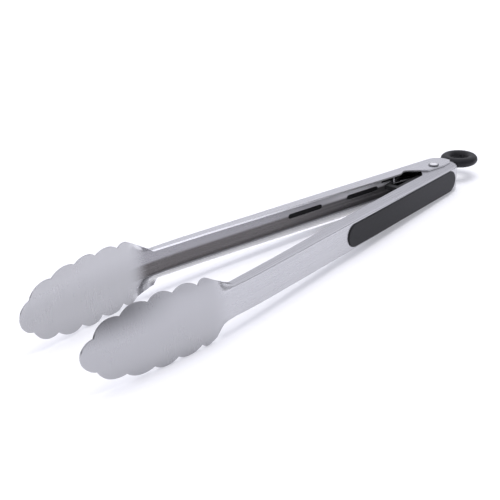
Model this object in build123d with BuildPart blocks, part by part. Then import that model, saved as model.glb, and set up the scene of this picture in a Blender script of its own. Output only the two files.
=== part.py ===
from build123d import *
import os
from math import asin, atan2, cos, degrees, hypot, pi, radians, sin, sqrt

# Spring loaded kitchen tongs, lying on their side and sprung open.
# Two stamped channel arms turn on one rivet. A torsion spring opens them, a pull-out bar locks them shut.
# Each arm is drawn in its own frame at the pivot: x forward to the tip, y outward, z along the pivot.

# Arms
SHEET = 1.0
TIP_REACH = 288.0
TAIL_REACH = 16.2
WEB_OFFSET = 12.0
OPEN_ANGLE = 6.4
CHANNEL_HEIGHT = 17.6
CORNER_RADIUS = 1.5
TAIL_RADIUS = 10.0
FLANGE_EDGE_FRONT = 6.2
FLANGE_EDGE_REAR = 2.6
FLANGE_TAPER_FRONT = 170.0
FLANGE_TAPER_REAR = 40.0
STRAIGHT_LENGTH = 180.0
BEND_RADIUS = 332.0

# Spoon shaped tip with a scalloped rim
CHANNEL_END = 205.0
CHANNEL_END_DEPTH = 4.7
SPOON_START = 217.0
SPOON_FLAT = 4.0
SPOON_RADIUS = 50.0
SPOON_FOLD = 14.0
SPOON_WING = 5.4
SCALLOP_RISE = 2.6
FRONT_SCALLOP_RISE = 3.2
FRONT_NOTCH = (281.1, 8.4)
SIDE_NOTCHES = ((267.3, 14.7), (252.9, 16.7), (239.9, 16.7), (225.9, 15.7))
SHOULDER = (219.9, 17.3)
TIP_ROOT = (206.8, 9.5)

# Hinge ears
EAR_REACH = 4.3
EAR_SLOPE_FOOT = 17.7
EAR_SLOPE_TOP = 8.6
EAR_TAPER_START = -5.0
EAR_TAPER_END = (-12.5, -2.3)
EAR_CORNER = 2.0
EAR_GAP = 0.15
RELIEF_LIP = 26.3
RELIEF_ROOT = (21.3, 5.5)
TAIL_HEIGHT = 17.6
TAPER_REAR = 24.0
TAPER_FRONT = 110.0
INNER_END_WALL = 4.2
OUTER_END_WALL = 6.6

# Pivot
RIVET_DIAMETER = 4.0
RIVET_HEAD_DIAMETER = 6.6
RIVET_HEAD_HEIGHT = 1.3
RUNNING_GAP = 0.05
SLEEVE_DIAMETER = 6.4
SLEEVE_END_GAP = 0.1
HEAD_GAP = 0.1
HEAD_RIM = 0.4

# Grips
GRIP_REAR = -6.2
GRIP_LENGTH = 118.0
GRIP_HEIGHT = 14.0
GRIP_PROUD = 0.8
GRIP_EDGE = 0.6
KEY_SLOT_LENGTH = 26.0
KEY_SLOT_HEIGHT = 3.0
KEY_SLOT_FRONTS = (110.5, 64.4)
KEY_GAP = 0.05

# Torsion spring
WIRE = 1.3
COIL_RADIUS = 4.6
COIL_PITCH = 2.0
COIL_TURNS = 3
COIL_BASE = 5.6
LEG_REACH = 27.0
LEG_GAP = 0.3

# Pull-out lock
BAR_THICKNESS = 2.5
BAR_LEVEL = 4.2
LOCK_TRAVEL = 7.0
SLOT_GAP = 0.25
EYE_WALL = 2.0
SHANK_WIDTH = 6.0
HOOK_FRONT = 41.0
HOOK_WIDTH = 3.5
FLUKE_OUTER = 10.6
FLUKE_WIDTH = 2.0
FLUKE_TIP = 32.8
BAR_CORNER = 0.8
CATCH_WALL = 24.0
CATCH_LIP = 5.0
CATCH_EDGE = 5.7
CATCH_HEIGHT = 3.6
CATCH_WINDOW = 10.0
CATCH_RELIEF = 0.4

# Pull ring
RING_REACH = 31.8
RING_RADIUS = 8.6
RING_WIDTH = 6.9
RING_THICKNESS = 6.1
RING_LAND = 0.2
NECK_GAP = 0.4
NECK_HEIGHT = 3.8
NECK_FRONT = 13.0
TONGUE_WIDTH = 3.0
TONGUE_END = 21.5
TONGUE_HOLE = 1.6
NECK_EDGE = 1.2

# Sizes that follow from the ones above
HALF_CHANNEL = CHANNEL_HEIGHT / 2
OUTER_TAIL_HALF = TAIL_HEIGHT / 2
INNER_TAIL_HALF = OUTER_TAIL_HALF - SHEET - EAR_GAP
FLAT_HALF = HALF_CHANNEL - CORNER_RADIUS
TIP_HALF_WIDTH = SIDE_NOTCHES[1][1] + SCALLOP_RISE
BEHIND_EARS = EAR_REACH + 4 * SHEET
opening = radians(OPEN_ANGLE)
tip_turn = asin((TIP_REACH - STRAIGHT_LENGTH) / BEND_RADIUS)
tip_inner = WEB_OFFSET - BEND_RADIUS * (1 - cos(tip_turn)) - SHEET / cos(tip_turn)
tail_gap = INNER_END_WALL + OUTER_END_WALL * cos(2 * opening) - TAIL_REACH * sin(2 * opening)
NECK_WIDTH = tail_gap - 2 * NECK_GAP
NECK_MIDDLE = INNER_END_WALL - tail_gap / 2
RING_OUTER = RING_RADIUS + RING_WIDTH / 2

# The pivot is placed so that the origin is under the middle of the whole object, at its lowest point
front_end = cos(opening) * TIP_REACH - sin(opening) * tip_inner
rear_end = cos(opening) * RING_REACH + sin(opening) * NECK_MIDDLE + RING_OUTER
PIVOT = Vector((front_end - rear_end) / 2, 0, TIP_HALF_WIDTH)
UP = Vector(0, 0, 1)
inner_frame = Plane(PIVOT, x_dir=(-cos(opening), -sin(opening), 0), z_dir=UP)
outer_frame = Plane(PIVOT, x_dir=(-cos(opening), sin(opening), 0), z_dir=-UP)


def station(frame, along, turn=0.0):
    """Plane across an arm on the web's outer face: x outward, y up the web, turned round the bend."""
    t = radians(turn)
    spot = (along + BEND_RADIUS * sin(t), WEB_OFFSET - BEND_RADIUS * (1 - cos(t)), 0)
    outward = frame.x_dir * sin(t) + frame.y_dir * cos(t)
    ahead = frame.x_dir * cos(t) - frame.y_dir * sin(t)
    return Plane(frame.from_local_coords(spot), x_dir=outward, z_dir=ahead)


def turn_at(reach):
    """How far the bend has turned, in degrees, at a distance from the pivot along the arm."""
    return degrees(asin((reach - STRAIGHT_LENGTH) / BEND_RADIUS))


def side_plane(frame, offset):
    """Plane along the web, seen from outside: x forward, y up the web, at a distance from the pivot."""
    return Plane(frame.from_local_coords((0, offset, 0)), x_dir=frame.x_dir, z_dir=-frame.y_dir)


def sheet_section(plane, flat, radius, fold, flange):
    """Section of the sheet: a flat web, a bend of fold degrees on each side, then a straight flange."""
    a = radians(fold)

    def round_bend(r, angle, run=0.0):
        return (-radius + r * cos(angle) - run * sin(angle), flat + r * sin(angle) + run * cos(angle))

    with BuildSketch(plane) as section:
        with BuildLine():
            for r in (radius, radius - SHEET):
                Line((r - radius, -flat), (r - radius, flat))
            for side in (1, -1):
                ends = []
                for r in (radius, radius - SHEET):
                    bend = [round_bend(r, angle) for angle in (0, a / 2, a)]
                    start, middle, finish, end = ((x, side * y) for x, y in (*bend, round_bend(r, a, flange)))
                    ThreePointArc(start, middle, finish)
                    Line(finish, end)
                    ends.append(end)
                Line(*ends)
        make_face()
    return section.sketch


def channel_section(plane, half_height, depth):
    """Section of the plain channel, its flanges reaching depth in from the web's outer face."""
    return sheet_section(plane, half_height - CORNER_RADIUS, CORNER_RADIUS, 90, depth - CORNER_RADIUS)


def tail_block(frame, half_height, wall):
    """The rounded rear end of an arm as a filled block, drawn in by wall on its closed sides."""
    radius = TAIL_RADIUS - wall
    half = half_height - wall
    middle = (TAIL_RADIUS - TAIL_REACH, WEB_OFFSET - TAIL_RADIUS)
    back = -BEHIND_EARS - wall
    web_end = (TAPER_REAR + wall, WEB_OFFSET - wall)
    with BuildPart() as block:
        with BuildSketch(frame.offset(-half)):
            with BuildLine():
                Polyline((middle[0] - radius, middle[1]), (middle[0] - radius, back), (web_end[0], back),
                         web_end, (middle[0], WEB_OFFSET - wall))
                RadiusArc((middle[0], WEB_OFFSET - wall), (middle[0] - radius, middle[1]), -radius)
            make_face()
        extrude(amount=2 * half)
        caps = block.faces().filter_by(Axis(PIVOT, UP)).edges()
        open_side = caps.group_by(Axis(PIVOT, frame.y_dir))[0]
        front_side = caps.group_by(Axis(PIVOT, frame.x_dir))[-1]
        fillet(caps - open_side - front_side, CORNER_RADIUS - wall)
    return block.part


def tip_outline(frame):
    """Side view of the front of an arm: the channel, its shoulders and the scalloped spoon."""
    clear = HALF_CHANNEL + SHEET / 10
    with BuildSketch(side_plane(frame, 0)) as outline:
        with BuildLine():
            ThreePointArc((FRONT_NOTCH[0], -FRONT_NOTCH[1]), (TIP_REACH, 0), FRONT_NOTCH)
            for side in (1, -1):
                notches = [(x, side * y) for x, y in (FRONT_NOTCH, *SIDE_NOTCHES)]
                SagittaArc(notches[0], notches[1], -side * FRONT_SCALLOP_RISE)
                for ahead, behind in zip(notches[1:], notches[2:]):
                    SagittaArc(ahead, behind, -side * SCALLOP_RISE)
                root, shoulder = ((x, side * y) for x, y in (TIP_ROOT, SHOULDER))
                TangentArc(shoulder, notches[-1], tangent=(shoulder[0] - root[0], shoulder[1] - root[1]))
                Polyline(shoulder, root, (CHANNEL_END, side * clear), (STRAIGHT_LENGTH, side * clear))
            Line((STRAIGHT_LENGTH, -clear), (STRAIGHT_LENGTH, clear))
        make_face()
    return outline.sketch


def free_edge_cut(notched):
    """Plan outline of everything inward of the flanges' free edges and the ears."""
    front = FLANGE_EDGE_FRONT
    relief = [(EAR_SLOPE_FOOT, FLANGE_EDGE_REAR)]
    if notched:
        relief = [(RELIEF_LIP, FLANGE_EDGE_REAR), RELIEF_ROOT]
    return (
        (STRAIGHT_LENGTH, front), (FLANGE_TAPER_FRONT, front), (FLANGE_TAPER_REAR, FLANGE_EDGE_REAR), *relief,
        (EAR_SLOPE_TOP, -EAR_REACH), (EAR_TAPER_START, -EAR_REACH), EAR_TAPER_END,
        (-TAIL_REACH - SHEET, -EAR_TAPER_END[1]), (-TAIL_REACH - SHEET, -2 * BEHIND_EARS),
        (STRAIGHT_LENGTH, -2 * BEHIND_EARS),
    )


def stamp_arm(frame, half_tail, end_wall, notched):
    """One arm: the plain channel, the rounded tail with its ears, and the spoon tip."""
    flange_front = WEB_OFFSET - FLANGE_EDGE_FRONT
    deep = WEB_OFFSET + BEHIND_EARS
    bend_axis = Axis(frame.from_local_coords((STRAIGHT_LENGTH, WEB_OFFSET - BEND_RADIUS, 0)), -frame.z_dir)
    outer_tail = tail_block(frame, half_tail, 0)
    hollow_tail = tail_block(frame, half_tail, SHEET)

    with BuildPart() as spoon:
        first, last = turn_at(CHANNEL_END), turn_at(SPOON_START)
        revolve(channel_section(station(frame, STRAIGHT_LENGTH), HALF_CHANNEL, flange_front), axis=bend_axis,
                revolution_arc=first)
        with BuildSketch(frame):
            ending = station(frame, STRAIGHT_LENGTH, first)
            edge, far_edge = (frame.to_local_coords(ending.from_local_coords((-depth, 0, 0)))
                              for depth in (CHANNEL_END_DEPTH, 2 * flange_front))
            Polygon((FLANGE_TAPER_FRONT, FLANGE_EDGE_FRONT), (edge.X, edge.Y), (far_edge.X, far_edge.Y),
                    (FLANGE_TAPER_FRONT, far_edge.Y), align=None)
        extrude(amount=CHANNEL_HEIGHT, both=True, mode=Mode.SUBTRACT)
        end_flange = CHANNEL_END_DEPTH - CORNER_RADIUS
        unfolding = (
            (FLAT_HALF, CORNER_RADIUS, 90, end_flange),
            (0.94 * FLAT_HALF, 2.0 * CORNER_RADIUS, 76, 0.85 * end_flange + 0.15 * SPOON_WING),
            (0.77 * FLAT_HALF, 5.0 * CORNER_RADIUS, 50, 0.55 * end_flange + 0.45 * SPOON_WING),
            (0.62 * FLAT_HALF, 13.0 * CORNER_RADIUS, 29, 0.20 * end_flange + 0.80 * SPOON_WING),
            (SPOON_FLAT, SPOON_RADIUS, SPOON_FOLD, SPOON_WING),
        )
        steps = len(unfolding) - 1
        loft([sheet_section(station(frame, STRAIGHT_LENGTH, first + (last - first) * i / steps), *shape)
              for i, shape in enumerate(unfolding)])
        revolve(sheet_section(station(frame, STRAIGHT_LENGTH, last), *unfolding[-1]), axis=bend_axis,
                revolution_arc=turn_at(TIP_REACH + SHEET) - last)
        extrude(tip_outline(frame), amount=2 * WEB_OFFSET, both=True, mode=Mode.INTERSECT)

    with BuildPart() as arm:
        add(outer_tail)
        add(hollow_tail, mode=Mode.SUBTRACT)
        loft([channel_section(station(frame, TAPER_REAR), half_tail, deep),
              channel_section(station(frame, TAPER_FRONT), HALF_CHANNEL, deep)], ruled=True)
        extrude(channel_section(station(frame, TAPER_FRONT), HALF_CHANNEL, deep),
                amount=STRAIGHT_LENGTH - TAPER_FRONT)
        with BuildSketch(frame) as inward:
            Polygon(*free_edge_cut(notched), align=None)
            corners = inward.vertices().filter_by_position(Axis.Y, -2 * EAR_REACH, WEB_OFFSET)
            fillet(corners.filter_by_position(Axis.X, -TAIL_REACH, FLANGE_TAPER_REAR / 1.5), EAR_CORNER)
        extrude(amount=2 * HALF_CHANNEL, both=True, mode=Mode.SUBTRACT)
        with BuildSketch(frame):
            with Locations((-TAIL_REACH, end_wall)):
                Rectangle(TAIL_RADIUS, 2 * TAIL_RADIUS, align=(Align.CENTER, Align.MAX))
        extrude(amount=half_tail - SHEET, both=True, mode=Mode.SUBTRACT)
        with BuildSketch(frame):
            Circle(RIVET_DIAMETER / 2 + RUNNING_GAP)
        extrude(amount=2 * HALF_CHANNEL, both=True, mode=Mode.SUBTRACT)
        with BuildSketch(side_plane(frame, WEB_OFFSET - 2 * SHEET)):
            for reach in KEY_SLOT_FRONTS:
                with Locations((reach - KEY_SLOT_LENGTH / 2, 0)):
                    SlotOverall(KEY_SLOT_LENGTH, KEY_SLOT_HEIGHT)
        extrude(amount=-4 * SHEET, mode=Mode.SUBTRACT)
        add(spoon.part)
    return arm.part


def soft_grip(frame):
    """Pad on the web's outer face with two keys that fill the web's slots."""
    with BuildPart() as grip:
        with BuildSketch(side_plane(frame, WEB_OFFSET)):
            with Locations((GRIP_REAR + GRIP_LENGTH / 2, 0)):
                SlotOverall(GRIP_LENGTH, GRIP_HEIGHT)
        extrude(amount=-GRIP_PROUD)
        fillet(grip.faces().sort_by(Axis(PIVOT, frame.y_dir))[-1].edges(), GRIP_EDGE)
        with BuildSketch(side_plane(frame, WEB_OFFSET)):
            for reach in KEY_SLOT_FRONTS:
                with Locations((reach - KEY_SLOT_LENGTH / 2, 0)):
                    SlotOverall(KEY_SLOT_LENGTH - 2 * KEY_GAP, KEY_SLOT_HEIGHT - 2 * KEY_GAP)
        extrude(amount=SHEET)
    return grip.part


def biarc_joint(p, p_way, q, q_way):
    """Where two arcs meet that run from p along p_way to q along q_way, and their shared direction."""
    chord = q - p
    spread = p_way + q_way
    a = spread.dot(spread) - 4
    b = -2 * chord.dot(spread)
    reach = (-b - sqrt(b * b - 4 * a * chord.dot(chord))) / (2 * a)
    first = p + p_way * reach
    second = q - q_way * reach
    return (first + second) * 0.5, (second - first).normalized()


# Arms
inner_arm_sheet = stamp_arm(inner_frame, INNER_TAIL_HALF, INNER_END_WALL, False)
outer_arm_sheet = stamp_arm(outer_frame, OUTER_TAIL_HALF, OUTER_END_WALL, True)

with BuildPart() as inner_arm:
    add(inner_arm_sheet)

# The catch is a tongue cut out of the outer arm's web, turned in and then forward
with BuildPart() as outer_arm:
    add(outer_arm_sheet)
    with BuildSketch(side_plane(outer_frame, WEB_OFFSET - 2 * SHEET)):
        with Locations((CATCH_WALL + SHEET, -BAR_LEVEL)):
            Rectangle(CATCH_WINDOW, CATCH_HEIGHT + CATCH_RELIEF, align=(Align.MIN, Align.CENTER))
    extrude(amount=-4 * SHEET, mode=Mode.SUBTRACT)
    with BuildSketch(outer_frame.offset(-BAR_LEVEL - CATCH_HEIGHT / 2)):
        with Locations((CATCH_WALL, CATCH_EDGE)):
            Rectangle(SHEET, WEB_OFFSET - SHEET / 2 - CATCH_EDGE, align=Align.MIN)
            Rectangle(CATCH_LIP, SHEET, align=Align.MIN)
    extrude(amount=CATCH_HEIGHT)

# Grips
inner_arm_grip_pad = soft_grip(inner_frame)
outer_arm_grip_pad = soft_grip(outer_frame)

with BuildPart() as inner_arm_grip:
    add(inner_arm_grip_pad)

with BuildPart() as outer_arm_grip:
    add(outer_arm_grip_pad)

# Pivot
axis_plane = Plane(PIVOT, x_dir=(1, 0, 0), z_dir=(0, -1, 0))
head_seat = OUTER_TAIL_HALF + HEAD_GAP
head_top = head_seat + RIVET_HEAD_HEIGHT

with BuildPart() as pivot_rivet:
    with BuildSketch(axis_plane):
        with BuildLine():
            Line((0, -head_top), (0, head_top))
            Line((RIVET_DIAMETER / 2, -head_seat), (RIVET_DIAMETER / 2, head_seat))
            for side in (1, -1):
                Polyline((RIVET_DIAMETER / 2, side * head_seat), (RIVET_HEAD_DIAMETER / 2, side * head_seat),
                         (RIVET_HEAD_DIAMETER / 2, side * (head_seat + HEAD_RIM)))
                TangentArc((0, side * head_top), (RIVET_HEAD_DIAMETER / 2, side * (head_seat + HEAD_RIM)),
                           tangent=(1, 0))
        make_face()
    revolve(axis=Axis(PIVOT, UP))

sleeve_half = INNER_TAIL_HALF - SHEET - SLEEVE_END_GAP
with BuildPart() as pivot_sleeve:
    with BuildSketch(inner_frame.offset(-sleeve_half)):
        Circle(SLEEVE_DIAMETER / 2)
        Circle(RIVET_DIAMETER / 2 + RUNNING_GAP, mode=Mode.SUBTRACT)
    extrude(amount=2 * sleeve_half)

# Torsion spring: a straight leg on the inner arm, the coil, a straight leg on the outer arm
leg_end = (LEG_REACH, WEB_OFFSET - SHEET - LEG_GAP - WIRE / 2)
leg_swing = degrees(atan2(leg_end[1], leg_end[0])) + degrees(pi / 2 - asin(COIL_RADIUS / hypot(*leg_end)))
coil_start = 180 + OPEN_ANGLE + leg_swing
coil_finish = 540 - OPEN_ANGLE - leg_swing + 360 * COIL_TURNS
pieces = round((coil_finish - coil_start) / 90)
step = (coil_finish - coil_start) / pieces
lift = COIL_PITCH * step / 360
knots = []
ways = []
for i in range(pieces + 1):
    a = radians(coil_start + step * i)
    level = -COIL_BASE + lift * (min(max(i - 0.5, 0), pieces - 1))
    slope = 0 if i in (0, pieces) else COIL_PITCH / (2 * pi * COIL_RADIUS)
    knots.append(PIVOT + Vector(COIL_RADIUS * cos(a), COIL_RADIUS * sin(a), level))
    ways.append(Vector(-sin(a), cos(a), slope).normalized())
leg_length = sqrt(leg_end[0] ** 2 + leg_end[1] ** 2 - COIL_RADIUS ** 2)

with BuildPart() as torsion_spring:
    with BuildLine() as wire_path:
        Line(knots[0] - ways[0] * leg_length, knots[0])
        for p, p_way, q, q_way in zip(knots, ways, knots[1:], ways[1:]):
            joint, joint_way = biarc_joint(p, p_way, q, q_way)
            TangentArc(p, joint, tangent=p_way)
            TangentArc(joint, q, tangent=joint_way)
        Line(knots[-1], knots[-1] + ways[-1] * leg_length)
    with BuildSketch(Plane(knots[0] - ways[0] * leg_length, z_dir=ways[0])):
        Circle(WIRE / 2)
    sweep(path=wire_path.wires()[0])

# Points along the wire show how close the coil comes to itself
trail = [edge.position_at(k / 12) for edge in wire_path.wires()[0].edges() for k in range(12)]
apart = min(
    (trail[i] - trail[j]).length
    for i in range(len(trail))
    for j in range(i + 96, len(trail))
)
print(f"torsion_spring least gap to itself {apart - WIRE:.2f} mm")

# Lock bar, drawn pushed in: an eye round the sleeve, a shank and a hook for the outer arm's catch
slot_width = SLEEVE_DIAMETER + 2 * SLOT_GAP
with BuildPart() as lock_bar:
    with BuildSketch(inner_frame.offset(BAR_LEVEL - BAR_THICKNESS / 2)) as bar_plan:
        with Locations((LOCK_TRAVEL / 2, 0)):
            SlotCenterToCenter(LOCK_TRAVEL, slot_width + 2 * EYE_WALL)
        with Locations((LOCK_TRAVEL, 0)):
            Rectangle(HOOK_FRONT - LOCK_TRAVEL, SHANK_WIDTH, align=(Align.MIN, Align.CENTER))
        with Locations((HOOK_FRONT, SHANK_WIDTH / 2)):
            Rectangle(HOOK_WIDTH, FLUKE_OUTER + SHANK_WIDTH / 2, align=Align.MAX)
        with Locations((HOOK_FRONT, -FLUKE_OUTER)):
            Rectangle(HOOK_FRONT - FLUKE_TIP, FLUKE_WIDTH, align=(Align.MAX, Align.MIN))
        hook_span = (FLUKE_TIP - BAR_CORNER, HOOK_FRONT + BAR_CORNER)
        fillet(bar_plan.vertices().filter_by_position(Axis.X, *hook_span), BAR_CORNER)
        with Locations((0, NECK_MIDDLE)):
            Rectangle(TONGUE_END, TONGUE_WIDTH, align=(Align.MAX, Align.CENTER))
        with Locations((TONGUE_WIDTH / 2 - TONGUE_END, NECK_MIDDLE)):
            Circle(TONGUE_HOLE / 2, mode=Mode.SUBTRACT)
        with Locations((LOCK_TRAVEL / 2, 0)):
            SlotCenterToCenter(LOCK_TRAVEL, slot_width, mode=Mode.SUBTRACT)
    extrude(amount=BAR_THICKNESS)

# Pull ring with a flat land inside its hole, moulded round the bar's tongue
ring_middle = inner_frame.from_local_coords((-RING_REACH, NECK_MIDDLE, BAR_LEVEL))
neck_start = inner_frame.from_local_coords((-NECK_FRONT, NECK_MIDDLE, BAR_LEVEL))
with BuildPart() as pull_ring:
    with BuildSketch(Plane(neck_start, x_dir=inner_frame.y_dir, z_dir=-inner_frame.x_dir)):
        RectangleRounded(NECK_WIDTH, NECK_HEIGHT, NECK_EDGE)
    extrude(amount=RING_REACH - RING_RADIUS - NECK_FRONT)
    with BuildSketch(Plane(ring_middle, x_dir=(1, 0, 0), z_dir=(0, -1, 0))):
        with Locations((RING_RADIUS, 0)):
            Ellipse(RING_WIDTH / 2, RING_THICKNESS / 2)
        Rectangle(RING_RADIUS - RING_WIDTH / 2 + RING_LAND, RING_THICKNESS, align=(Align.MIN, Align.CENTER),
                  mode=Mode.SUBTRACT)
    revolve(axis=Axis(ring_middle, UP))
    add(lock_bar.part, mode=Mode.SUBTRACT)

inner_arm.part.label = "inner_arm"
outer_arm.part.label = "outer_arm"
inner_arm_grip.part.label = "inner_arm_grip"
outer_arm_grip.part.label = "outer_arm_grip"
pivot_rivet.part.label = "pivot_rivet"
pivot_sleeve.part.label = "pivot_sleeve"
torsion_spring.part.label = "torsion_spring"
lock_bar.part.label = "lock_bar"
pull_ring.part.label = "pull_ring"

os.makedirs("parts", exist_ok=True)
export_step(inner_arm.part, "parts/inner_arm.step")
export_step(outer_arm.part, "parts/outer_arm.step")
export_step(inner_arm_grip.part, "parts/inner_arm_grip.step")
export_step(outer_arm_grip.part, "parts/outer_arm_grip.step")
export_step(pivot_rivet.part, "parts/pivot_rivet.step")
export_step(pivot_sleeve.part, "parts/pivot_sleeve.step")
export_step(torsion_spring.part, "parts/torsion_spring.step")
export_step(lock_bar.part, "parts/lock_bar.step")
export_step(pull_ring.part, "parts/pull_ring.step")
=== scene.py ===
from math import asin, atan2, cos, degrees, hypot, pi, radians, sin, sqrt

import bmesh
import bpy
from mathutils import Matrix, Vector


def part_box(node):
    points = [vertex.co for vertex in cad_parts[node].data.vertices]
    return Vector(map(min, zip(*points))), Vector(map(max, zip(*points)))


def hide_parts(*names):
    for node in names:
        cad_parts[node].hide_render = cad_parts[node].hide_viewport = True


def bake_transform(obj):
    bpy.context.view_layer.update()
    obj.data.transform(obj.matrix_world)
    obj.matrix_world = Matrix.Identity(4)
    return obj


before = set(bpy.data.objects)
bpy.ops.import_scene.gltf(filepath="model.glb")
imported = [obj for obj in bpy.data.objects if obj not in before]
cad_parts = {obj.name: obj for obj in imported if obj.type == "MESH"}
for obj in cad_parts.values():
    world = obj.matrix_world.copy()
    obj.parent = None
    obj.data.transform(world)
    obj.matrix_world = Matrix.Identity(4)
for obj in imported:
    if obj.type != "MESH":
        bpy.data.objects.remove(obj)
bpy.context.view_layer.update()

# Places taken from the frame, in metres
rivet_low, rivet_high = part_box("pivot_rivet")
PIVOT = (rivet_low + rivet_high) / 2
ring_low, ring_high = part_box("pull_ring")
RING_LEVEL = (ring_low.z + ring_high.z) / 2
ARM_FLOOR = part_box("inner_arm")[0].z

# Opening of each arm from the middle line, in degrees
OPEN_ANGLE = 6.4

# Torsion spring, in metres; the first and last part of its coil rise half as fast as the others
WIRE = 0.0013
WIRE_SIDES = 20
WIRE_ROUNDING = WIRE / 8
COIL_RADIUS = 0.0046
COIL_PITCH = 0.002
COIL_TURNS = 3
COIL_PARTS = 14
COIL_BASE = 0.0056
COIL_STEP_DEGREES = 7.5
LEG_END = (0.027, 0.01005)

# Edges of new meshes that turn by more than this stay sharp
SHARP_DEGREES = 35

# Stretches over which the finish and painted light and shade of an arm, or the tone of its grip,
# change, in metres forward from the pivot
HINGE_END = (0.018, 0.03)
SHADED_RUN = (0.02, 0.13)
BRIGHT_RUN = (0.04, 0.095)
UNDERSIDE_END = (0.082, 0.1)
TIP_ROOT = (0.207, 0.221)
FRONT_RIM = (0.235, 0.275)
GRIP_DARKENING_RUN = (0.0, 0.1)

# The same outward from the pivot, across the depth of the channel
SHEARED_EDGE = (0.0075, 0.00825)
LEDGE_END = (0.0102, 0.0106)
WEB_FACE = (0.0112, 0.0115)
KEY_END = (0.011, 0.0115)

# The same upward from the middle of the channel
FLANGE_FACE = (0.0074, 0.0077)
LOWER_HALF = (-0.0006, 0.0014)
FOLD_TOP = (-0.0072, -0.0069)
UNDERSIDE_TOP = (-0.0078, -0.0066)
BOWL_RISE = (-0.004, 0.012)
RIM_RISE = (0.002, 0.018)

# Where the painted shade on the rim of the rivet's heads starts and is full, in metres from their
# axis, and the ring's parting line from its middle
HEAD_RIM = (0.0022, 0.003)
RING_PARTING = (0.00006, 0.00018)

# How far a face has to point some way, from not counted to counted, as the cosine of its angle
SQUARELY = (0.7, 0.95)
SLIGHTLY = (0.0, 0.2)
NOT_AGAINST = (-0.2, 0.0)
BEND_START = (0.05, 0.35)
BEND_END = (0.75, 0.97)
BEND_OUTWARD = (0.1, 0.3)

# Brush marks on the arms per metre, across the strokes and along them
FINE_BRUSH = (2600, 25)
STREAK_BRUSH = (520, 6)

# On the spoons: shares of the marks forward and outward, their mean and how much they vary
SPOON_FORWARD = 0.4
SPOON_OUTWARD = 0.04
SPOON_MEAN = 0.38
SPOON_CONTRAST = 0.24

# Steel of each arm: dull and bright sheet, then the spoon's low, high and front rim colours. The outer
# arm's steel is painted lighter than the inner arm's, each spoon is painted lighter towards its top,
# and the front rim gets painted shade, strongest on the inner spoon
INNER_SHEET = (0.49, 0.49, 0.51), (0.55, 0.55, 0.57)
INNER_BOWL = (0.437, 0.437, 0.452), (0.45, 0.45, 0.465), (0.14, 0.14, 0.146)
OUTER_SHEET = (0.63, 0.63, 0.65), (0.7, 0.7, 0.72)
OUTER_BOWL = (0.455, 0.455, 0.467), (0.535, 0.535, 0.55), (0.51, 0.51, 0.524)

# Painted light and shade on the arms, where they differ from their sheet; pairs run from the hinge to
# the tip
# A painted highlight and a faint painted glow on the sheared edges and on the ledge of the lower
# flange inside the channel
EDGE_HIGHLIGHT = (0.96, 0.96, 0.98)
EDGE_GLOW = (0.12, 0.12, 0.128)
# A painted highlight along the outer bend at the top of the channel
BEND_HIGHLIGHT = (0.72, 0.72, 0.74)
# Painted shade along the rounded underside of each arm towards the hinge
UNDERSIDE_SHADE = (0.14, 0.14, 0.146)
# Painted shade deep inside the channel at the hinge
HINGE_SHADE = (0.07, 0.07, 0.073)
# A painted highlight along the fold at the foot of the web inside the channel
FOLD_HIGHLIGHT = (0.3, 0.3, 0.31)
# Painted shade and reflection on the web inside the channel: its lower half painted dark, darkest at
# the hinge, and its upper half painted light, lightest near the hinge
TROUGH_LOW_SHADE = (0.06, 0.058, 0.06), (0.135, 0.127, 0.127)
TROUGH_HIGH_LIGHT = (0.9, 0.89, 0.91), (0.355, 0.35, 0.37)

# Other finishes: pairs are dark and light
# Bright steel of the rivet, lightened further into a painted highlight on its heads
RIVET_STEEL_AND_HIGHLIGHT = (0.86, 0.86, 0.87), (0.98, 0.98, 0.98)
SLEEVE_STEEL = (0.34, 0.34, 0.345), (0.45, 0.45, 0.45)
# Painted shade round the rim of the rivet's heads
HEAD_RIM_SHADE = (0.22, 0.22, 0.23)
WIRE_STEEL = (0.3, 0.3, 0.305), (0.46, 0.46, 0.465)
GRIP_CHARCOAL = (0.008, 0.008, 0.01), (0.03, 0.03, 0.034)
# Painted shade on the grip's keys inside the arm
KEY_SHADE = (0.004, 0.004, 0.005)
RING_BLACK = (0.006, 0.006, 0.008), (0.013, 0.013, 0.016)
LOCK_BLACK = (0.008, 0.008, 0.009), (0.02, 0.02, 0.02)

# Table, its lengths in metres, and the share of it that shines where it is seen
TABLE_HALF = 6
TABLE_WHITE = (0.945, 0.95, 1, 1)
TABLE_GLOW = 0.3
LOWEST_SCALLOP = -0.1225
HEAD_SINK = 0.001

# Studio: the world's levels, where it changes from front to rear and above the horizon, and its lamp
FRONT_LEVEL = 0.45
HORIZON_LEVEL = 0.22
SKY_LEVEL = 0.73
REAR_TURN = (-0.6, 0.1)
SKY_RISE = (0.08, 0.38)
SKY_HUE = (0.96, 0.962, 1.045)
LAMP_ENERGY = 1.8
LAMP_DEGREES = 40
LAMP_HUE = (1, 0.985, 0.96)
LAMP_WAY = Vector((0.12, -0.06, 0.98))

# Camera, as the photograph was taken, in metres, degrees and, for its lens, millimetres
CAMERA_TARGET = Vector((-0.03679, 0.00302, 0.02078))
CAMERA_DISTANCE = 0.50577
CAMERA_AZIMUTH = -42.027
CAMERA_ELEVATION = 24.032
CAMERA_ROLL = -2.593
CAMERA_LENS = 67.32
CAMERA_SENSOR = 36
CAMERA_CLIP = 0.01


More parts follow.
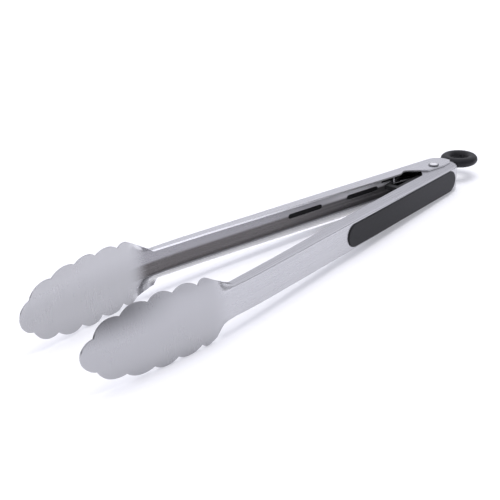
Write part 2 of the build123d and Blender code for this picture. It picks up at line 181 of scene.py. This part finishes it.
class Field:
    """A socket in a node tree, so that shader maths reads as an expression."""

    def __init__(self, tree, socket=None):
        self.tree = tree
        self.socket = socket

    def node(self, kind, settings, inputs, output=0):
        """Adds a node: its settings come first, then the values or links of its sockets."""
        made = self.tree.nodes.new(kind)
        for name, value in settings.items():
            setattr(made, name, value)
        for name, value in inputs.items():
            if isinstance(value, Field):
                self.tree.links.new(value.socket, made.inputs[name])
            else:
                made.inputs[name].default_value = value
        return Field(self.tree, made.outputs[output] if made.outputs else None)

    def math(self, operation, *values):
        return self.node("ShaderNodeMath", {"operation": operation}, dict(enumerate(values)))

    def __add__(self, other):
        return self.math("ADD", self, other)

    __radd__ = __add__

    def __sub__(self, other):
        return self.math("SUBTRACT", self, other)

    def __rsub__(self, other):
        return self.math("SUBTRACT", other, self)

    def __mul__(self, other):
        return self.math("MULTIPLY", self, other)

    __rmul__ = __mul__

    def __abs__(self):
        return self.math("ABSOLUTE", self)

    def at_least(self, other):
        return self.math("MAXIMUM", self, other)

    def ease(self, low, high):
        """0 below low, 1 above high, smooth between."""
        settings = {"interpolation_type": "SMOOTHSTEP"}
        inputs = {"Value": self, "From Min": low, "From Max": high}
        return self.node("ShaderNodeMapRange", settings, inputs)

    def axis(self, name):
        """One part of a vector: X, Y or Z."""
        return self.node("ShaderNodeSeparateXYZ", {}, {"Vector": self}, name)

    def vector_math(self, operation, *values, output=0):
        inputs = dict(enumerate((self, *values)))
        return self.node("ShaderNodeVectorMath", {"operation": operation}, inputs, output)

    def scaled(self, *factors):
        return self.vector_math("MULTIPLY", factors)

    def dot(self, *way):
        """How far a vector points along a fixed one."""
        return self.vector_math("DOT_PRODUCT", way, output="Value")

    def noise(self, scale, detail=2):
        inputs = {"Vector": self, "Scale": scale, "Detail": detail}
        return self.node("ShaderNodeTexNoise", {}, inputs, "Fac")

    def tint(self, dark, light):
        """A colour between dark and light, each a colour or a field of colours."""
        ends = [end if isinstance(end, Field) else (*end, 1) for end in (dark, light)]
        inputs = {0: self, 6: ends[0], 7: ends[1]}
        return self.node("ShaderNodeMix", {"data_type": "RGBA"}, inputs, 2)

    def bump(self, strength, distance):
        inputs = {"Height": self, "Strength": strength, "Distance": distance}
        return self.node("ShaderNodeBump", {}, inputs)


def new_finish(name):
    """An empty material and a field to build its nodes from."""
    finish = bpy.data.materials.new(name)
    finish.use_nodes = True
    finish.node_tree.nodes.clear()
    return finish, Field(finish.node_tree)


def surface(start, **inputs):
    """The material's one shader, with its sockets named as the shader names them."""
    sockets = {name.replace("_", " "): value for name, value in inputs.items()}
    shader = start.node("ShaderNodeBsdfPrincipled", {}, sockets)
    start.node("ShaderNodeOutputMaterial", {}, {"Surface": shader})


def coordinates(start, kind):
    """Where a point is on its object, which way it faces or, for the world, where a ray goes."""
    return start.node("ShaderNodeTexCoord", {}, {}, kind)


def is_ray(start, kind):
    """1 for light of one kind, such as what the camera sees, and 0 for the rest."""
    return start.node("ShaderNodeLightPath", {}, {}, f"Is {kind} Ray")


def arm_coordinates(start, side):
    """Object coordinates turned into an arm's own: x forward from the pivot, y across, z up."""
    place = coordinates(start, "Object")
    turn = pi + side * radians(OPEN_ANGLE)
    settings = {"vector_type": "TEXTURE"}
    inputs = {"Vector": place, "Location": PIVOT, "Rotation": (0, 0, turn)}
    return start.node("ShaderNodeMapping", settings, inputs)


def brush_marks(local, spoon, across, lengthwise):
    """Noise drawn out along the arm and, fainter, along the height of its spoon."""
    arm = local.scaled(lengthwise, across, across).noise(1)
    tip = local.scaled(SPOON_FORWARD * across, SPOON_OUTWARD * across, lengthwise).noise(1)
    return arm + spoon * (SPOON_MEAN + SPOON_CONTRAST * tip - arm)


def arm_steel(name, side, sheet, bowl):
    """Brushed sheet whose sheared edges get a painted highlight and glow, and whose trough inside the
    channel gets painted shade and reflection.

    sheet holds the dull and bright colours of the arm, bowl the spoon's low, high and front
    rim colours. side is 1 for the inner arm and -1 for the outer one.
    """
    finish, start = new_finish(name)
    local = arm_coordinates(start, side)
    along = local.axis("X")
    outward = side * local.axis("Y")
    height = local.axis("Z")
    spoon = along.ease(*TIP_ROOT)
    channel = 1 - spoon

    fine = brush_marks(local, spoon, *FINE_BRUSH)
    streaks = brush_marks(local, spoon, *STREAK_BRUSH)
    cloud = local.noise(38, 3)
    grain = (0.4 * fine + 0.4 * streaks + 0.2 * cloud).ease(0.2, 0.8)

    # Which way a face points
    opening = radians(OPEN_ANGLE)
    facing = coordinates(start, "Normal")
    away = facing.dot(sin(opening), -side * cos(opening), 0)
    backward = facing.dot(cos(opening), side * sin(opening), 0)
    upward = facing.axis("Z")

    # The parts of the arm that get painted light or shade of their own
    inward = (-1 * away).ease(*SQUARELY) * channel
    web = outward.ease(*SHEARED_EDGE)
    hollow = (1 - abs(height).ease(*FLANGE_FACE)) * (1 - outward.ease(*WEB_FACE)) * channel
    sheared = inward * (1 - web) * (1 - hollow)
    trough = inward * web
    hinge = 1 - along.ease(*HINGE_END)
    within = hollow * (1 - away.ease(*SLIGHTLY)) * (1 - backward.ease(*SLIGHTLY))
    low = 1 - height.ease(*LOWER_HALF)
    lower_flange = upward.ease(*SQUARELY) * low * channel
    ledge = lower_flange * (1 - hinge) * (1 - outward.ease(*LEDGE_END))
    fold = 1 - height.ease(*FOLD_TOP)
    rear = 1 - along.ease(*UNDERSIDE_END)
    under = (1 - height.ease(*UNDERSIDE_TOP)) * rear * away.ease(*NOT_AGAINST)
    bend = upward.ease(*BEND_START) * (1 - upward.ease(*BEND_END))
    bend_highlight = bend * away.ease(*BEND_OUTWARD) * channel
    front_rim = height.ease(*RIM_RISE) * along.ease(*FRONT_RIM)

    # Their colours, painted light and shade among them, laid one over the other
    # Inside the channel the lower web gets painted shade and the upper web a painted reflection of
    # light
    shaded = along.ease(*SHADED_RUN).tint(*TROUGH_LOW_SHADE)
    upper = along.ease(*BRIGHT_RUN).tint(*TROUGH_HIGH_LIGHT)
    # The fold at the foot of the inner web gets a painted highlight over the painted shade
    inner = (low * (0.8 + 0.4 * streaks)).tint(upper, fold.tint(shaded, FOLD_HIGHLIGHT))
    # The spoon is painted lighter towards its top and gets painted shade on its front rim
    spooned = front_rim.tint(height.ease(*BOWL_RISE).tint(bowl[0], bowl[1]), bowl[2])
    brushed = (0.3 * grain - 0.08).tint(spooned, sheet[1])
    # The outer bend at the top of the channel gets a painted highlight
    handle = bend_highlight.tint(grain.tint(*sheet), BEND_HIGHLIGHT)
    # The underside of the channel towards the hinge gets painted shade
    outer = spoon.tint(under.tint(handle, UNDERSIDE_SHADE), brushed)
    # The ledge inside the channel is painted bright as a painted highlight
    floored = ledge.tint(trough.tint(outer, inner), EDGE_HIGHLIGHT)
    # The sheared edges are painted bright as a painted highlight
    edged = sheared.tint(floored, EDGE_HIGHLIGHT)
    surface(
        start,
        # Deep inside the channel at the hinge the steel is painted near black as painted shade
        Base_Color=(hinge * within).tint(edged, HINGE_SHADE),
        # The ledge is made mostly non-metal so that its painted highlight shows
        Metallic=1 - 0.9 * ledge,
        Roughness=0.2 + 0.1 * fine + 0.06 * cloud - 0.08 * sheared,
        # A faint painted glow on the sheared edges and the ledge
        Emission_Color=(sheared + ledge).tint((0, 0, 0), EDGE_GLOW),
        Emission_Strength=1,
        Normal=((0.6 * fine + 0.4 * streaks) * (1 - 0.85 * spoon)).bump(0.06, 0.0002),
    )
    return finish


def grip_rubber(name, side):
    """Charcoal elastomer with a fine moulded grain, mottled and lighter towards the pivot end; its
    keys, inside the arm, lie in painted shade, near black.
    """
    finish, start = new_finish(name)
    local = arm_coordinates(start, side)
    grain = local.noise(2600)
    patches = local.noise(90, 3)
    key = 1 - (side * local.axis("Y")).ease(*KEY_END)
    # The grip is lighter towards the pivot end and darker forward, and mottled at random
    pivot_end = 1 - local.axis("X").ease(*GRIP_DARKENING_RUN)
    grip_tone = (0.35 * grain + 0.35 * patches + 0.3 * pivot_end).ease(0.15, 0.85)
    surface(
        start,
        # The keys inside the arm are painted near black as painted shade
        Base_Color=key.tint(grip_tone.tint(*GRIP_CHARCOAL), KEY_SHADE),
        Roughness=0.5 + 0.14 * patches + 0.2 * key,
        Specular_IOR_Level=0.3,
        Normal=grain.bump(0.25, 0.0002),
    )
    return finish


def ring_black():
    """Black moulding with a parting line round its middle."""
    finish, start = new_finish("ring_black")
    place = coordinates(start, "Object")
    skin = place.noise(1400)
    dust = place.noise(160, 3)
    parting = 1 - abs(place.axis("Z") - RING_LEVEL).ease(*RING_PARTING)
    surface(
        start,
        Base_Color=dust.ease(0.3, 0.75).tint(*RING_BLACK),
        Roughness=0.36 + 0.12 * dust,
        Specular_IOR_Level=0.3,
        Normal=(0.3 * skin + parting).bump(0.2, 0.0001),
    )
    return finish


def lock_black():
    """Black coated steel, a little uneven."""
    finish, start = new_finish("lock_black")
    place = coordinates(start, "Object")
    pores = place.noise(1800, 3)
    wear = place.noise(220, 4).ease(0.62, 0.8)
    surface(
        start,
        Base_Color=wear.tint(*LOCK_BLACK),
        Roughness=0.4 + 0.2 * pores,
        Specular_IOR_Level=0.25,
        Normal=pores.bump(0.15, 0.0001),
    )
    return finish


def turned_steel(name, dark, light):
    """Plain steel with fine rings about the pivot, with painted shade towards the rim of the rivet's
    heads.
    """
    finish, start = new_finish(name)
    from_pivot = coordinates(start, "Object").vector_math("SUBTRACT", PIVOT)
    radius = from_pivot.scaled(1, 1, 0).vector_math("LENGTH", output="Value")
    ring_place = start.node("ShaderNodeCombineXYZ", {}, {"X": radius, "Y": from_pivot.axis("Z")})
    rings = ring_place.noise(4200)
    surface(
        start,
        # Painted shade towards the rim of the rivet's heads
        Base_Color=radius.ease(*HEAD_RIM).tint(rings.tint(dark, light), HEAD_RIM_SHADE),
        Metallic=1,
        Roughness=0.16 + 0.14 * rings,
        Normal=rings.bump(0.08, 0.0001),
    )
    return finish


def spring_wire():
    """Drawn wire: dull steel, unevenly marked."""
    finish, start = new_finish("spring_wire")
    drawn = coordinates(start, "Object").scaled(1, 1, 9).noise(700, 3)
    surface(
        start,
        Base_Color=drawn.tint(*WIRE_STEEL),
        Metallic=1,
        Roughness=0.26 + 0.16 * drawn,
        Normal=drawn.bump(0.1, 0.0001),
    )
    return finish


def extend_wire(mesh, rim, way):
    """Carries the wire's open rim straight on."""
    grown = bmesh.ops.extrude_edge_only(mesh, edges=rim)["geom"]
    moved = [part for part in grown if isinstance(part, bmesh.types.BMVert)]
    bmesh.ops.translate(mesh, verts=moved, vec=way)
    return [part for part in grown if isinstance(part, bmesh.types.BMEdge) and part.is_boundary]


def wind_wire(mesh, rim, angle, rise):
    """Carries the wire's open rim round the pivot, rising as it goes."""
    steps = max(1, round(degrees(angle) / COIL_STEP_DEGREES))
    wound = bmesh.ops.spin(mesh, geom=rim, cent=PIVOT, axis=(0, 0, 1), dvec=(0, 0, rise / steps),
                           angle=angle, steps=steps, use_merge=False, use_duplicate=False)
    return [part for part in wound["geom_last"] if isinstance(part, bmesh.types.BMEdge)]


def make_spring(finish):
    """The torsion spring: a leg on each arm and the coil between."""
    swing = atan2(LEG_END[1], LEG_END[0]) + pi / 2 - asin(COIL_RADIUS / hypot(*LEG_END))
    first = pi + radians(OPEN_ANGLE) + swing
    coiled = 2 * pi * (COIL_TURNS + 1) - 2 * (swing + radians(OPEN_ANGLE))
    leg_length = sqrt(hypot(*LEG_END) ** 2 - COIL_RADIUS ** 2)
    lead = coiled / COIL_PARTS
    climb = COIL_PITCH * lead / (2 * pi)
    low_way = Vector((-sin(first), cos(first), 0))
    high_way = Vector((-sin(first + coiled), cos(first + coiled), 0))
    low_knot = PIVOT + Vector((COIL_RADIUS * cos(first), COIL_RADIUS * sin(first), -COIL_BASE))
    high_level = low_knot.z + (COIL_PARTS - 1) * climb

    mesh = bmesh.new()
    along_leg = low_way.to_track_quat("Z", "Y").to_matrix().to_4x4()
    placed = Matrix.Translation(low_knot - low_way * leg_length) @ along_leg
    bmesh.ops.create_circle(mesh, cap_ends=True, radius=WIRE / 2, segments=WIRE_SIDES, matrix=placed)
    low_end = list(mesh.edges)
    rim = extend_wire(mesh, low_end, low_way * leg_length)
    rim = wind_wire(mesh, rim, lead, climb / 2)
    rim = wind_wire(mesh, rim, coiled - 2 * lead, (COIL_PARTS - 2) * climb)
    rim = wind_wire(mesh, rim, lead, climb / 2)
    rim = extend_wire(mesh, rim, high_way * leg_length)
    bmesh.ops.edgeloop_fill(mesh, edges=rim)
    bmesh.ops.bevel(mesh, geom=low_end + rim, offset=WIRE_ROUNDING, segments=2, profile=0.5,
                    affect="EDGES", material=-1)
    bmesh.ops.recalc_face_normals(mesh, faces=mesh.faces)
    spring = add_object("spring_coil", mesh, finish)
    high_level - WIRE / 2
    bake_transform(spring)
    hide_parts("torsion_spring")


def add_object(name, mesh, finish):
    """A finished mesh as an object of the scene."""
    data = bpy.data.meshes.new(name)
    mesh.to_mesh(data)
    mesh.free()
    data.shade_smooth()
    data.set_sharp_from_angle(angle=radians(SHARP_DEGREES))
    data.materials.append(finish)
    made = bpy.data.objects.new(name, data)
    bpy.context.scene.collection.objects.link(made)
    return made


def paint(node, finish):
    """Gives a CAD node its finish."""
    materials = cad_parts[node].data.materials
    materials.clear()
    materials.append(finish)


def make_floor():
    """A pale table that the lowest scallops touch.

    At the pivot it lies close under the arms, so the rivet's lower head sinks into it.
    """
    finish, start = new_finish("table_white")
    seen = is_ray(start, "Camera") + is_ray(start, "Glossy") + is_ray(start, "Transmission")
    matte = start.node("ShaderNodeBsdfDiffuse", {}, {"Color": TABLE_WHITE})
    glow = start.node("ShaderNodeEmission", {}, {"Color": TABLE_WHITE, "Strength": 1})
    mixed = start.node("ShaderNodeMixShader", {}, {0: TABLE_GLOW * seen, 1: matte, 2: glow})
    start.node("ShaderNodeOutputMaterial", {}, {"Surface": mixed})
    tilt = atan2(rivet_low.z + HEAD_SINK - ARM_FLOOR, PIVOT.x - LOWEST_SCALLOP)
    placed = Matrix.Translation((LOWEST_SCALLOP, 0, ARM_FLOOR)) @ Matrix.Rotation(-tilt, 4, "Y")
    mesh = bmesh.new()
    bmesh.ops.create_grid(mesh, x_segments=1, y_segments=1, size=TABLE_HALF, matrix=placed)
    add_object("table", mesh, finish)


def make_world():
    """A white studio: bright above and behind, darker round the horizon, plain white to the camera."""
    world = bpy.data.worlds.new("studio")
    bpy.context.scene.world = world
    world.use_nodes = True
    world.node_tree.nodes.clear()
    start = Field(world.node_tree)
    way = coordinates(start, "Generated")
    camera = is_ray(start, "Camera")
    rear = way.axis("Y").ease(*REAR_TURN)
    above = SKY_LEVEL * way.axis("Z").ease(*SKY_RISE) * (FRONT_LEVEL + (1 - FRONT_LEVEL) * rear)
    sky = (FRONT_LEVEL * (1 - rear)).at_least(HORIZON_LEVEL + above)
    inputs = {"Color": camera.tint(SKY_HUE, (1, 1, 1)), "Strength": sky.at_least(camera)}
    background = start.node("ShaderNodeBackground", {}, inputs)
    start.node("ShaderNodeOutputWorld", {}, {"Surface": background})


def make_lamp():
    """One broad soft lamp overhead, which the steel doesn't mirror."""
    lamp = bpy.data.lights.new("softbox", "SUN")
    lamp.energy = LAMP_ENERGY
    lamp.angle = radians(LAMP_DEGREES)
    lamp.color = LAMP_HUE
    softbox = bpy.data.objects.new("softbox", lamp)
    softbox.visible_glossy = False
    softbox.rotation_euler = LAMP_WAY.to_track_quat("Z", "Y").to_euler()
    bpy.context.scene.collection.objects.link(softbox)


def make_camera():
    """The camera of the photograph."""
    data = bpy.data.cameras.new("camera")
    data.lens = CAMERA_LENS
    data.sensor_width = CAMERA_SENSOR
    data.clip_start = CAMERA_CLIP
    camera = bpy.data.objects.new("camera", data)
    turned = (Matrix.Rotation(radians(CAMERA_AZIMUTH), 4, "Z")
              @ Matrix.Rotation(radians(90 - CAMERA_ELEVATION), 4, "X")
              @ Matrix.Rotation(radians(CAMERA_ROLL), 4, "Z"))
    back = turned.to_3x3() @ Vector((0, 0, CAMERA_DISTANCE))
    camera.matrix_world = Matrix.Translation(CAMERA_TARGET + back) @ turned
    bpy.context.scene.collection.objects.link(camera)
    bpy.context.scene.camera = camera


paint("inner_arm", arm_steel("inner_arm_steel", 1, INNER_SHEET, INNER_BOWL))
paint("outer_arm", arm_steel("outer_arm_steel", -1, OUTER_SHEET, OUTER_BOWL))
paint("inner_arm_grip", grip_rubber("inner_grip_rubber", 1))
paint("outer_arm_grip", grip_rubber("outer_grip_rubber", -1))
paint("pivot_rivet", turned_steel("rivet_steel", *RIVET_STEEL_AND_HIGHLIGHT))
paint("pivot_sleeve", turned_steel("sleeve_steel", *SLEEVE_STEEL))
paint("lock_bar", lock_black())
paint("pull_ring", ring_black())
make_spring(spring_wire())
make_floor()
make_world()
make_lamp()
make_camera()
bpy.context.scene.view_settings.view_transform = "Standard"
